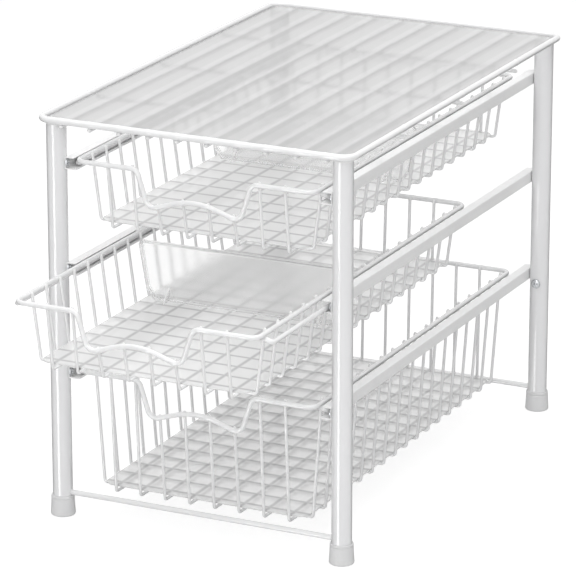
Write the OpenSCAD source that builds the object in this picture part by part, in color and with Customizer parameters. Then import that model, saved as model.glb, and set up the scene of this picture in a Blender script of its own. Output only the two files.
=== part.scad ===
// Three-tier pull-out wire basket organiser for a cabinet.
// +Z is up and the floor is z = 0. The origin is the middle of the part's outline on the
// floor with the middle basket pulled out by middle_pull, so the frame stands behind it.
// -Y is the front, where the baskets pull out; +X is the right-hand side.

/* [Posts] */
// Outer diameter of the four round post tubes
post_d = 17; // [16.5:0.1:18]
// Wall of the post tube
post_wall = 1; // [0.8:0.1:1.5]
// Distance between the left and right post centres
post_span_x = 260; // [240:1:300]
// Distance between the front and rear post centres
post_span_y = 421; // [400:1:460]
// Height of the post tube's bottom end above the floor
post_foot_gap = 4; // [3:0.5:6]

/* [Feet and caps] */
// Overall height of a foot
foot_h = 17.8; // [16:0.2:18]
// Diameter of a foot at the floor
foot_bottom_d = 21.2; // [20.5:0.1:24]
// Diameter of a foot just below its collar
foot_top_d = 19.8; // [19.4:0.1:20.4]
// Height of the collar ring at the top of a foot
foot_collar_h = 3; // [2:0.5:4]
// Height of the rounded edge at the floor
foot_edge_h = 1.6; // [1:0.1:2]
// Depth of the groove under a foot's collar
foot_groove = 0.4; // [0.2:0.1:0.6]
// Clearance round the post in the bore of a foot
foot_clearance = 0.15; // [0.1:0.05:0.3]
// Thickness of a post cap's head
cap_head_h = 2.5; // [1.5:0.5:4]
// Length of a post cap's plug inside the tube
cap_plug_h = 12; // [8:1:16]
// Clearance round the plug of a post cap
cap_clearance = 0.15; // [0.1:0.05:0.3]

/* [Tie rods] */
// Diameter of the front and rear tie rods
rod_d = 4.6; // [4:0.2:5.4]
// Height of the tie rods' axis above the floor
rod_z = 20.6; // [20.4:0.1:20.8]
// Depth to which a tie rod's end goes through the post wall
rod_insert = 5; // [3:0.5:6]

/* [Rails] */
// Height of the top face of the bottom rails
rail_bottom_z = 133.8; // [130:0.5:140]
// Vertical distance from one tier's rails to the next
tier_pitch = 90.8; // [86:0.2:96]
// Height of a rail channel
rail_h = 10.4; // [10.2:0.1:11]
// Width of a rail channel
rail_w = 10.8; // [10.6:0.1:11.4]
// Sheet thickness of a rail
rail_wall = 0.9; // [0.7:0.1:1]
// Height of the return lips along the open side of a rail
rail_lip = 1; // [0.6:0.1:1]
// Length of a rail in front of the front post centre
rail_overhang_front = 2.5; // [2:0.5:4]
// Length of a rail behind the rear post centre
rail_overhang_rear = 7; // [5:0.5:8]
// Gap between a rail's back and the post it is screwed to
rail_gap = 0.1; // [0.05:0.05:0.3]

/* [Screws] */
// Shank diameter of the screws that hold the rails
rail_screw_d = 3.6; // [3:0.1:3.8]
// Head diameter of the rail screws
rail_screw_head_d = 7; // [6:0.2:7.4]
// Head height of the rail screws
rail_screw_head_h = 1.8; // [1.4:0.1:2]
// Shank diameter of the screws in the posts
post_screw_d = 4; // [3.6:0.1:4.4]
// Head diameter of the post screws
post_screw_head_d = 8.6; // [8:0.1:9]
// Head height of the post screws
post_screw_head_h = 2.6; // [2.2:0.1:3]
// Depth of the post screws' axis below the top face of the bottom rails
post_screw_drop = 12; // [11:0.5:16]
// Length of a screw's shank beyond its head
screw_reach = 7; // [6:0.5:8]
// Added to a screw's shank diameter for its hole
screw_hole_play = 0.4; // [0.2:0.1:0.6]
// Width of the cross-shaped recess in a screw head
screw_recess_w = 1.2; // [0.8:0.1:1.4]
// Depth of the cross-shaped recess in a screw head
screw_recess_depth = 1; // [0.6:0.1:1.2]

/* [Top rack] */
// Height of the rack rim's axis above the floor
rack_z = 347.9; // [345:0.5:356]
// Diameter of the rack rim wire
rack_rim_d = 5.6; // [5.2:0.1:6]
// Diameter of the rack's front-to-back wires
rack_long_d = 3.6; // [3:0.1:4]
// Diameter of the rack's side-to-side wires
rack_cross_d = 3.4; // [3:0.1:4]
// Number of front-to-back wires in the rack
rack_long_n = 10; // [8:1:12]
// Number of side-to-side wires in the rack
rack_cross_n = 3; // [2:1:4]
// Distance between the rack's side-to-side wires
rack_cross_pitch = 118; // [90:1:118]
// Length of the rack wires beyond the rim's axis
rack_wire_end = 1.4; // [0.8:0.2:2]
// Gap between the rack and the posts it is fixed to
rack_gap = 0.1; // [0.05:0.05:0.3]
// Thickness of the mat on the rack
mat_t = 2.2; // [1.6:0.1:2.6]
// Gap between the mat's edge and the rack rim
mat_gap = 0.5; // [0.4:0.1:1.5]

/* [Baskets] */
// Diameter of a basket's rim wire
rim_d = 4.2; // [3.8:0.1:4.4]
// Diameter of a basket's runner wires
runner_d = 4.2; // [3.8:0.1:4.4]
// Diameter of a basket's wall and floor wires
wire_d = 2.6; // [2.2:0.1:3]
// Length of a basket between the axes of its front and rear rims
basket_len = 410.5; // [390:0.5:414]
// Distance of a closed basket's front rim axis in front of the rail ends
rim_front_reach = 4.7; // [4.7:0.1:8]
// Depth of the basket rim's axis below the rail's top face
rim_sink = 0.8; // [0:0.1:1]
// Gap between a basket's side rim and the rail beside it
rim_side_gap = 0.4; // [0.3:0.1:0.8]
// Gap between a basket's runner and the rail floor that it slides on
runner_gap = 0.3; // [0.2:0.05:0.5]
// Distance of the runner's axis from the rail's back
runner_inset = 6.2; // [6:0.1:6.4]
// Depth of the two shallow baskets, from rim axis to underside
shallow_depth = 57.6; // [45:0.2:64]
// Depth of the deep basket, from rim axis to underside
deep_depth = 107.6; // [90:0.2:108]
// Bend radius at the rim's corners
rim_corner_r = 8; // [6:0.5:10]
// Bend radius where the wires turn from wall to floor
wire_bend_r = 4; // [4:0.5:6]
// Bend radius at the ends of a runner wire
runner_bend_r = 5; // [4.4:0.1:5.4]
// Inward lean of the side walls from rim to floor
side_taper = 7.6; // [3:0.2:9]
// Inward lean of the front wall from rim to floor
front_taper = 7.4; // [5:0.2:10]
// Inward lean of the rear wall from rim to floor
rear_taper = 3; // [2:0.2:5]
// Number of front-to-back wires in a basket
long_wire_n = 8; // [6:1:9]
// Distance between the front-to-back wires
long_wire_pitch = 23; // [18:0.2:23]
// Number of side-to-side wires in a basket
cross_wire_n = 17; // [14:1:17]
// Distance of the foremost side-to-side wire behind the front rim's axis
cross_wire_front = 21.8; // [16:0.1:30]
// Distance of the rearmost side-to-side wire in front of the rear rim's axis
cross_wire_rear = 13.5; // [12:0.5:14]
// Height of a wire's tip above the rim's axis
wire_tip = 3.4; // [2.6:0.2:4]
// Depth to which welded wires sink into each other
weld = 0.1; // [0.05:0.05:0.2]
// Amount by which a wire is thicker in its bends
bend_swell = 0.06; // [0.04:0.02:0.1]
// Distance by which the middle basket stands pulled out
middle_pull = 105; // [0:1:240]

/* [Handle] */
// Distance from the middle of the front to the top of the handle's steep flanks
handle_half_w = 52.2; // [49:0.2:54]
// Distance from the middle of the front to the foot of those flanks
handle_valley_x = 41.7; // [39:0.2:44]
// Depth of the foot of the flanks below the rim's axis, before rounding
handle_valley_z = 32.8; // [26:0.2:34]
// Depth of the handle's middle below the rim's axis, before rounding
handle_crest_z = 19.2; // [16:0.2:24]
// Bend radius at the top of the flanks
handle_top_r = 7.4; // [6:0.2:8]
// Bend radius in the valleys
handle_valley_r = 8; // [7:0.2:8.4]
// Bend radius of the central hump
handle_crest_r = 62; // [50:1:70]

/* [Liners and dividers] */
// Thickness of a basket liner
liner_t = 1; // [0.8:0.1:1.5]
// Half width of a basket liner
liner_half_w = 92; // [85:0.5:92.5]
// Gap between a liner and the front and rear wall wires
liner_end_gap = 0.7; // [0.5:0.1:3]
// Corner radius of a liner
liner_corner_r = 11; // [5:0.5:14]
// Thickness of a divider panel
divider_t = 1.6; // [1.2:0.1:2.4]
// Height of a divider's top edge below the basket rim's axis
divider_drop = 0.8; // [0:0.2:4]
// Gap between a divider's upright edges and the side wires
divider_side_gap = 4; // [1.5:0.5:7]
// Width of the flange round a divider
divider_flange = 6; // [4:0.5:9]
// Size of the cut-off lower corners of a divider
divider_chamfer = 10; // [6:0.5:14]
// Size of a divider's triangular gussets
gusset = 12; // [8:0.5:16]
// Distance of the gussets from the divider's ends
gusset_inset = 14; // [10:0.5:24]
// Number of cross wires between the rear end and the top basket's divider
top_divider_bay = 8; // [3:1:12]
// Number of cross wires between the rear end and the middle basket's divider
middle_divider_bay = 9; // [3:1:12]

/* [Hidden] */
$fn = 48;

// Sides of the frame: -1 is left or front, +1 is right or rear
LEFT = -1;
RIGHT = 1;
FRONT = -1;
REAR = 1;

// Tiers, counted from the bottom
BOTTOM = 0;
MIDDLE = 1;
TOP = 2;

post_x = post_span_x / 2;
post_y = post_span_y / 2;
post_r = post_d / 2;

// Rack: the rim hugs the posts, the outermost long wires touch them inside
rack_x = post_x + post_r + rack_gap + rack_rim_d / 2;
rack_y = post_y + post_r + rack_gap + rack_rim_d / 2;
rack_corner_r = post_r + rack_gap + rack_rim_d / 2;
rack_long_z = rack_z - rack_rim_d / 2 - rack_long_d / 2 + weld;
rack_cross_z = rack_long_z - rack_long_d / 2 - rack_cross_d / 2 + weld;
rack_long_x = post_x - post_r - rack_gap - rack_long_d / 2;
mat_z = rack_long_z + rack_long_d / 2;
mat_x = rack_x - rack_rim_d / 2 - mat_gap;
mat_y = rack_y - rack_rim_d / 2 - mat_gap;
mat_corner_r = rack_corner_r - rack_rim_d / 2 - mat_gap;
cap_top = mat_z - rack_gap;
post_top = cap_top - cap_head_h;

// Rails
rail_back_x = post_x - post_r - rail_gap;
rail_open_x = rail_back_x - rail_w;
rail_front_y = -post_y - rail_overhang_front;
rail_rear_y = post_y + rail_overhang_rear;
function rail_z(tier) = rail_bottom_z + tier * tier_pitch;
function rail_screw_z(tier) = rail_z(tier) - rail_h / 2;
rail_screw_y = post_y;
post_screw_z = rail_bottom_z - post_screw_drop;

// Baskets, in the closed place
rim_x = rail_open_x - rim_side_gap - rim_d / 2;
rim_front_y = rail_front_y - rim_front_reach;
rim_rear_y = rim_front_y + basket_len;
runner_x = rail_back_x - runner_inset;
runner_drop = rail_h - rail_wall - runner_gap - runner_d / 2 - rim_sink;
function rim_z(tier) = rail_z(tier) - rim_sink;
function basket_depth(tier) = tier == BOTTOM ? deep_depth : shallow_depth;
function basket_shift(tier) = tier == MIDDLE ? -middle_pull : 0;

// Length by which a cutting shape stands proud of what it cuts
overcut = 1;

// Length of straight wire that runs on into a bend
bend_lap = 0.2;

// Wire axes beside the rim and on the floor; depths are below the rim's axis
wire_seat = rim_d / 2 + wire_d / 2 - weld;
wall_x_top = rim_x - wire_seat;
wall_x_floor = wall_x_top - side_taper;
wall_front_top = rim_front_y + wire_seat;
wall_front_floor = wall_front_top + front_taper;
wall_rear_top = rim_rear_y - wire_seat;
wall_rear_floor = wall_rear_top - rear_taper;
function long_floor_z(tier) = -(basket_depth(tier) - wire_d / 2);
function cross_floor_z(tier) = long_floor_z(tier) + wire_d - weld;
function liner_z(tier) = cross_floor_z(tier) + wire_d / 2;
cross_wire_pitch = (basket_len - cross_wire_rear - cross_wire_front) / (cross_wire_n - 1);
function cross_wire_y(i) = rim_rear_y - cross_wire_rear - i * cross_wire_pitch;
function bay_y(i) = cross_wire_y(i) + cross_wire_pitch / 2;
function long_wire_x(i) = (i - (long_wire_n - 1) / 2) * long_wire_pitch;
liner_front_y = wall_front_floor + wire_d / 2 + liner_end_gap;
liner_rear_y = wall_rear_floor - wire_d / 2 - liner_end_gap;

// The front rim's corner points as seen from the front, left end first
handle_points = [
    [-handle_half_w, 0, handle_top_r],
    [-handle_valley_x, -handle_valley_z, handle_valley_r],
    [0, -handle_crest_z, handle_crest_r],
    [handle_valley_x, -handle_valley_z, handle_valley_r],
    [handle_half_w, 0, handle_top_r]
];

// Height of the front rim's axis at a distance x from the middle, with the bends left sharp
function handle_line(x) =
    abs(x) >= handle_half_w ? 0
    : abs(x) >= handle_valley_x
        ? -handle_valley_z * (handle_half_w - abs(x)) / (handle_half_w - handle_valley_x)
        : -handle_crest_z - (handle_valley_z - handle_crest_z) * abs(x) / handle_valley_x;

// The same height with the hump and the valley rounded, where the wall wires meet it
function hump_slope() = atan((handle_valley_z - handle_crest_z) / handle_valley_x);
function hump_top() = -handle_crest_z - handle_crest_r * (1 / cos(hump_slope()) - 1);
function hump_arc(x) = hump_top() - handle_crest_r + sqrt(handle_crest_r ^ 2 - x ^ 2);
function hump_reach() = handle_crest_r * sin(hump_slope());
function valley_turn() = hump_slope()
    + atan(handle_valley_z / (handle_half_w - handle_valley_x));
function valley_tangent() = handle_valley_r * tan(valley_turn() / 2);
function valley_axis_x() = handle_valley_x - valley_tangent() * cos(hump_slope())
    + handle_valley_r * sin(hump_slope());
function valley_axis_z() = -handle_valley_z + valley_tangent() * sin(hump_slope())
    + handle_valley_r * cos(hump_slope());
function in_valley(x) = abs(x) > handle_valley_x - valley_tangent() * cos(hump_slope())
    && abs(x) < valley_axis_x() + handle_valley_r * 0.9;
function valley_arc(x) = valley_axis_z()
    - sqrt(handle_valley_r ^ 2 - (abs(x) - valley_axis_x()) ^ 2);
function front_rim_z(x) =
    abs(x) < hump_reach() ? hump_arc(x) : in_valley(x) ? valley_arc(x) : handle_line(x);

// ---- Wire bending ----

function unit(v) = v / norm(v);

// A direction square to v
function square_to(v) = unit(cross(v, abs(v[2]) < 0.9 ? [0, 0, 1] : [1, 0, 0]));

// Straight piece of round wire from a to b
module straight(a, b, d) {
    w = unit(b - a);
    u = square_to(w);
    v = cross(w, u);
    multmatrix([
        [u[0], v[0], w[0], a[0]],
        [u[1], v[1], w[1], a[1]],
        [u[2], v[2], w[2], a[2]],
        [0, 0, 0, 1]
    ])
        cylinder(h = norm(b - a), d = d, $fn = 24);
}

// Angle turned at the corner p on the way from a to b
function turn(a, p, b) = acos(unit(p - a) * unit(b - p));

// Length of straight wire that the bend at p takes from each of its sides
function bend_reach(a, p, b, r) = r * tan(turn(a, p, b) / 2);

// Bend of round wire at the corner p on the way from a to b, with axis radius r
module bend(a, p, b, r, d) {
    u = unit(p - a);
    v = unit(b - p);
    side = unit(v - (u * v) * u);
    start = p - u * bend_reach(a, p, b, r);
    middle = start + side * r;
    n = cross(-side, u);
    multmatrix([
        [-side[0], u[0], n[0], middle[0]],
        [-side[1], u[1], n[1], middle[1]],
        [-side[2], u[2], n[2], middle[2]],
        [0, 0, 0, 1]
    ])
        rotate_extrude(angle = turn(a, p, b), $fn = 96)
            translate([r, 0])
                circle(d = d + bend_swell, $fn = 24);
}

// Point of corner i of the list p, with wrap-around
function corner(p, i) = p[(i + len(p)) % len(p)];

// Wire of diameter d along the points p, bent with the radii r[i] at the inner points
module open_wire(p, r, d) {
    last = len(p) - 1;
    for (i = [1:last]) {
        w = unit(p[i] - p[i - 1]);
        before = i == 1 ? 0 : bend_reach(p[i - 2], p[i - 1], p[i], r[i - 1]) - bend_lap;
        after = i == last ? 0 : bend_reach(p[i - 1], p[i], p[i + 1], r[i]) - bend_lap;
        straight(p[i - 1] + w * before, p[i] - w * after, d);
    }
    for (i = [1:last - 1])
        bend(p[i - 1], p[i], p[i + 1], r[i], d);
}

// Closed loop of wire through the points p, bent with the radius r[i] at each of them
module closed_wire(p, r, d) {
    n = len(p);
    for (i = [0:n - 1]) {
        w = unit(corner(p, i + 1) - p[i]);
        before = bend_reach(corner(p, i - 1), p[i], corner(p, i + 1), r[i]) - bend_lap;
        after = bend_reach(p[i], corner(p, i + 1), corner(p, i + 2), r[(i + 1) % n]) - bend_lap;
        straight(p[i] + w * before, corner(p, i + 1) - w * after, d);
        bend(corner(p, i - 1), p[i], corner(p, i + 1), r[i], d);
    }
}

// Flat plate with round corners, standing on z = 0
module plate(x0, x1, y0, y1, t, r) {
    translate([x0 + r, y0, 0]) cube([x1 - x0 - 2 * r, y1 - y0, t]);
    translate([x0, y0 + r, 0]) cube([x1 - x0, y1 - y0 - 2 * r, t]);
    for (x = [x0 + r, x1 - r], y = [y0 + r, y1 - r])
        translate([x, y, 0]) cylinder(h = t, r = r);
}

// Depth of the whole part: from the pulled-out basket's rim to the rear of the rack
part_front_y = rim_front_y - middle_pull - rim_d / 2;
part_rear_y = rack_y + rack_rim_d / 2;

// Puts a piece, drawn with the middle of the four posts at the origin, in its place
module in_frame() {
    translate([0, -(part_front_y + part_rear_y) / 2, 0]) children();
}

// ---- Posts, caps and feet ----

// Post tube with its holes for the rail screws, the post screw and the tie rod
module post(side, end) {
    color("gainsboro")
        difference() {
            translate([side * post_x, end * post_y, post_foot_gap])
                cylinder(h = post_top - post_foot_gap, d = post_d);
            translate([side * post_x, end * post_y, post_foot_gap - overcut])
                cylinder(h = post_top - post_foot_gap + 2 * overcut, d = post_d - 2 * post_wall);
            for (tier = [BOTTOM:TOP])
                translate([side * post_x, end * rail_screw_y, rail_screw_z(tier)])
                    rotate([0, -side * 90, 0])
                        cylinder(h = post_d, d = rail_screw_d + screw_hole_play);
            translate([side * post_x, end * post_y, rod_z])
                rotate([0, -side * 90, 0])
                    cylinder(h = post_d, d = rod_d + screw_hole_play);
            translate([side * post_x, end * post_y, post_screw_z])
                rotate([end * 90, 0, 0])
                    cylinder(h = post_d, d = post_screw_d + screw_hole_play);
        }
}

// Plastic cap: a disc on the tube's end with a plug inside it
module post_cap(side, end) {
    color("white")
        translate([side * post_x, end * post_y, 0]) {
            translate([0, 0, post_top]) cylinder(h = cap_head_h, d = post_d);
            translate([0, 0, post_top - cap_plug_h])
                cylinder(h = cap_plug_h, d = post_d - 2 * post_wall - 2 * cap_clearance);
        }
}

// Tapered plastic foot with a collar, a rounded floor edge and a blind bore for the post
module foot(side, end) {
    bore_r = post_r + foot_clearance;
    collar_z = foot_h - foot_collar_h;
    bottom_r = foot_bottom_d / 2;
    top_r = foot_top_d / 2;
    color("lightgray")
        translate([side * post_x, end * post_y, 0])
            rotate_extrude()
                polygon([
                    [0, 0],
                    [bottom_r - foot_edge_h, 0],
                    for (a = [15:15:75])
                        [bottom_r - foot_edge_h * (1 - sin(a)), foot_edge_h * (1 - cos(a))],
                    [bottom_r, foot_edge_h],
                    [top_r, collar_z],
                    [top_r - foot_groove, collar_z + foot_groove],
                    [top_r, collar_z + 2 * foot_groove],
                    [top_r - foot_groove / 4, foot_h - 2 * foot_groove],
                    [bore_r + 1.5 * foot_groove, foot_h],
                    [bore_r, foot_h],
                    [bore_r, post_foot_gap],
                    [0, post_foot_gap]
                ]);
}

// Tie rod between two posts, its ends inside the post tubes
module tie_rod(end) {
    reach = post_x - post_r + rod_insert;
    color("white")
        translate([-reach, end * post_y, rod_z])
            rotate([0, 90, 0])
                cylinder(h = 2 * reach, d = rod_d);
}

// ---- Rails and screws ----

// C-shaped section of a right-hand rail: y is up, the open side faces -x
module rail_section() {
    difference() {
        translate([rail_open_x, -rail_h]) square([rail_w, rail_h]);
        translate([rail_open_x + rail_wall, -rail_h + rail_wall])
            square([rail_w - 2 * rail_wall, rail_h - 2 * rail_wall]);
        translate([rail_open_x - overcut, -rail_h + rail_wall + rail_lip])
            square([rail_wall + 2 * overcut, rail_h - 2 * rail_wall - 2 * rail_lip]);
    }
}

// Rail channel with its two screw holes
module rail(side, tier) {
    color("white")
        mirror([side == LEFT ? 1 : 0, 0, 0])
            difference() {
                translate([0, rail_rear_y, rail_z(tier)])
                    rotate([90, 0, 0])
                        linear_extrude(height = rail_rear_y - rail_front_y)
                            rail_section();
                for (end = [FRONT, REAR])
                    translate([rail_back_x - rail_wall - overcut, end * rail_screw_y, rail_screw_z(tier)])
                        rotate([0, 90, 0])
                            cylinder(h = rail_wall + 2 * overcut, d = rail_screw_d + screw_hole_play);
            }
}

// Pan-head screw with a cross recess; its head sits on z = 0 and its shank points down
module pan_screw(d, head_d, head_h) {
    difference() {
        union() {
            cylinder(h = head_h * 0.45, d = head_d);
            translate([0, 0, head_h * 0.45])
                cylinder(h = head_h * 0.55, d1 = head_d, d2 = head_d * 0.62);
            translate([0, 0, -screw_reach]) cylinder(h = screw_reach, d = d);
        }
        for (turned = [0, 90])
            rotate([0, 0, turned])
                translate([-head_d * 0.3, -screw_recess_w / 2, head_h - screw_recess_depth])
                    cube([head_d * 0.6, screw_recess_w, screw_recess_depth + overcut]);
    }
}

// The twelve screws that hold the rails to the posts, heads inside the channels
module rail_screws() {
    color("silver")
        for (side = [LEFT, RIGHT], end = [FRONT, REAR], tier = [BOTTOM:TOP])
            translate([side * (rail_back_x - rail_wall), end * rail_screw_y, rail_screw_z(tier)])
                rotate([0, -side * 90, 0])
                    pan_screw(rail_screw_d, rail_screw_head_d, rail_screw_head_h);
}

// One screw in each post, its head towards the middle of the side
module post_screws() {
    color("silver")
        for (side = [LEFT, RIGHT], end = [FRONT, REAR])
            translate([side * post_x, end * (post_y - post_r), post_screw_z])
                rotate([end * 90, 0, 0])
                    pan_screw(post_screw_d, post_screw_head_d, post_screw_head_h);
}

// ---- Top rack ----

module top_rack_rim() {
    color("white")
        translate([0, 0, rack_z])
            closed_wire(
                [[-rack_x, -rack_y, 0], [rack_x, -rack_y, 0], [rack_x, rack_y, 0], [-rack_x, rack_y, 0]],
                [for (i = [1:4]) rack_corner_r],
                rack_rim_d
            );
}

module top_rack_long_wires() {
    pitch = 2 * rack_long_x / (rack_long_n - 1);
    reach = rack_y + rack_wire_end;
    color("white")
        for (i = [0:rack_long_n - 1])
            straight(
                [-rack_long_x + i * pitch, -reach, rack_long_z],
                [-rack_long_x + i * pitch, reach, rack_long_z],
                rack_long_d
            );
}

module top_rack_cross_wires() {
    reach = rack_x + rack_wire_end;
    color("white")
        for (i = [0:rack_cross_n - 1]) {
            y = (i - (rack_cross_n - 1) / 2) * rack_cross_pitch;
            straight([-reach, y, rack_cross_z], [reach, y, rack_cross_z], rack_cross_d);
        }
}

module top_mat() {
    color([0.9, 0.9, 0.9, 0.6])
        translate([0, 0, mat_z])
            plate(-mat_x, mat_x, -mat_y, mat_y, mat_t, mat_corner_r);
}

// ---- Baskets; each is drawn round its rim's axis and moved to its tier ----

module in_tier(tier) {
    translate([0, basket_shift(tier), rim_z(tier)]) children();
}

// Rim: one loop of wire with the handle's wave in its front side
module basket_rim(tier) {
    points = concat(
        [[-rim_x, rim_front_y, 0]],
        [for (p = handle_points) [p[0], rim_front_y, p[1]]],
        [[rim_x, rim_front_y, 0], [rim_x, rim_rear_y, 0], [-rim_x, rim_rear_y, 0]]
    );
    radii = concat([rim_corner_r], [for (p = handle_points) p[2]], [for (i = [1:3]) rim_corner_r]);
    color("white") in_tier(tier) closed_wire(points, radii, rim_d);
}

// Runner: a wire in the rail, bent in at both ends and welded under the rim's corners
module basket_runner(side, tier) {
    leg = rim_corner_r * (1 - 1 / sqrt(2));
    end_x = rim_x - leg;
    end_z = -(rim_d + runner_d) / 2 + weld;
    front = rim_front_y + leg;
    rear = rim_rear_y - leg;
    color("white")
        in_tier(tier)
            open_wire(
                [
                    [side * end_x, front, end_z],
                    [side * runner_x, front, -runner_drop],
                    [side * runner_x, rear, -runner_drop],
                    [side * end_x, rear, end_z]
                ],
                [0, runner_bend_r, runner_bend_r, 0],
                runner_d
            );
}

// Front-to-back wires: down inside the front rim, along the floor, up inside the rear rim
module basket_long_wires(tier) {
    floor_z = long_floor_z(tier);
    color("white")
        in_tier(tier)
            for (i = [0:long_wire_n - 1]) {
                x = long_wire_x(i);
                front_z = front_rim_z(x);
                lean = front_taper / (front_z - floor_z);
                open_wire(
                    [
                        [x, wall_front_top - wire_tip * lean, front_z + wire_tip],
                        [x, wall_front_floor, floor_z],
                        [x, wall_rear_floor, floor_z],
                        [x, wall_rear_top, wire_tip]
                    ],
                    [0, wire_bend_r, wire_bend_r, 0],
                    wire_d
                );
            }
}

// Side-to-side wires: down inside one side rim, across the floor, up inside the other
module basket_cross_wires(tier) {
    floor_z = cross_floor_z(tier);
    color("white")
        in_tier(tier)
            for (i = [0:cross_wire_n - 1]) {
                y = cross_wire_y(i);
                open_wire(
                    [
                        [-wall_x_top, y, wire_tip],
                        [-wall_x_floor, y, floor_z],
                        [wall_x_floor, y, floor_z],
                        [wall_x_top, y, wire_tip]
                    ],
                    [0, wire_bend_r, wire_bend_r, 0],
                    wire_d
                );
            }
}

module basket_liner(tier) {
    color([0.92, 0.92, 0.92, 0.6])
        in_tier(tier)
            translate([0, 0, liner_z(tier)])
                plate(-liner_half_w, liner_half_w, liner_front_y, liner_rear_y, liner_t, liner_corner_r);
}

// Half width between the side wires at a height z below the rim's axis
function clear_x(tier, z) = wall_x_top + side_taper * z / -cross_floor_z(tier) - wire_d / 2;

// Divider: a clear panel with a flange round it and two gussets, standing on the liner
module basket_divider(tier, bay) {
    low = liner_z(tier) + liner_t;
    high = -divider_drop;
    top_x = clear_x(tier, high) - divider_side_gap;
    low_x = clear_x(tier, low) - divider_side_gap;
    foot_x = low_x - divider_chamfer * 0.7;
    color([0.95, 0.97, 0.98, 0.4])
        in_tier(tier)
            translate([0, bay_y(bay), 0])
                rotate([90, 0, 0]) {
                    translate([0, 0, -divider_t / 2])
                        linear_extrude(height = divider_t)
                            divider_outline(top_x, low_x, foot_x, low, high);
                    translate([0, 0, -divider_flange / 2])
                        linear_extrude(height = divider_flange)
                            difference() {
                                divider_outline(top_x, low_x, foot_x, low, high);
                                divider_outline(
                                    top_x - divider_t, low_x - divider_t, foot_x - divider_t * 0.6,
                                    low + divider_t, high - divider_t
                                );
                            }
                    for (side = [LEFT, RIGHT])
                        translate([side * (foot_x - gusset_inset), low + divider_t / 2, 0])
                            rotate([0, 90, 0])
                                linear_extrude(height = divider_t, center = true)
                                    polygon([[0, 0], [-gusset, 0], [0, gusset]]);
                }
}

// Outline of a divider: straight top, leaning sides and cut-off lower corners
module divider_outline(top_x, low_x, foot_x, low, high) {
    polygon([
        [-foot_x, low], [foot_x, low], [low_x, low + divider_chamfer], [top_x, high],
        [-top_x, high], [-low_x, low + divider_chamfer]
    ]);
}

in_frame() post(LEFT, FRONT);  // post_front_left
in_frame() post(RIGHT, FRONT);  // post_front_right
in_frame() post(LEFT, REAR);  // post_rear_left
in_frame() post(RIGHT, REAR);  // post_rear_right
in_frame() post_cap(LEFT, FRONT);  // post_cap_front_left
in_frame() post_cap(RIGHT, FRONT);  // post_cap_front_right
in_frame() post_cap(LEFT, REAR);  // post_cap_rear_left
in_frame() post_cap(RIGHT, REAR);  // post_cap_rear_right
in_frame() foot(LEFT, FRONT);  // foot_front_left
in_frame() foot(RIGHT, FRONT);  // foot_front_right
in_frame() foot(LEFT, REAR);  // foot_rear_left
in_frame() foot(RIGHT, REAR);  // foot_rear_right
in_frame() tie_rod(FRONT);  // front_tie_rod
in_frame() tie_rod(REAR);  // rear_tie_rod
in_frame() rail(LEFT, TOP);  // rail_top_left
in_frame() rail(RIGHT, TOP);  // rail_top_right
in_frame() rail(LEFT, MIDDLE);  // rail_middle_left
in_frame() rail(RIGHT, MIDDLE);  // rail_middle_right
in_frame() rail(LEFT, BOTTOM);  // rail_bottom_left
in_frame() rail(RIGHT, BOTTOM);  // rail_bottom_right
in_frame() rail_screws();
in_frame() post_screws();
in_frame() top_rack_rim();
in_frame() top_rack_long_wires();
in_frame() top_rack_cross_wires();
in_frame() top_mat();
in_frame() basket_rim(TOP);  // top_basket_rim
in_frame() basket_runner(LEFT, TOP);  // top_basket_runner_left
in_frame() basket_runner(RIGHT, TOP);  // top_basket_runner_right
in_frame() basket_long_wires(TOP);  // top_basket_long_wires
in_frame() basket_cross_wires(TOP);  // top_basket_cross_wires
in_frame() basket_liner(TOP);  // top_basket_liner
in_frame() basket_divider(TOP, top_divider_bay);  // top_basket_divider
in_frame() basket_rim(MIDDLE);  // middle_basket_rim
in_frame() basket_runner(LEFT, MIDDLE);  // middle_basket_runner_left
in_frame() basket_runner(RIGHT, MIDDLE);  // middle_basket_runner_right
in_frame() basket_long_wires(MIDDLE);  // middle_basket_long_wires
in_frame() basket_cross_wires(MIDDLE);  // middle_basket_cross_wires
in_frame() basket_liner(MIDDLE);  // middle_basket_liner
in_frame() basket_divider(MIDDLE, middle_divider_bay);  // middle_basket_divider
in_frame() basket_rim(BOTTOM);  // bottom_basket_rim
in_frame() basket_runner(LEFT, BOTTOM);  // bottom_basket_runner_left
in_frame() basket_runner(RIGHT, BOTTOM);  // bottom_basket_runner_right
in_frame() basket_long_wires(BOTTOM);  // bottom_basket_long_wires
in_frame() basket_cross_wires(BOTTOM);  // bottom_basket_cross_wires
in_frame() basket_liner(BOTTOM);  // bottom_basket_liner
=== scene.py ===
"""Dressed model of a three-tier pull-out wire basket organiser.

Sizes are in millimetres and become metres where a mesh is made. +Z is up and -Y is the
front, where the baskets pull out. Each sub-assembly is a class with its own sizes.
"""

import logging
import math
from dataclasses import dataclass
from enum import Enum
from functools import cached_property
from typing import Any, Sequence

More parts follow.
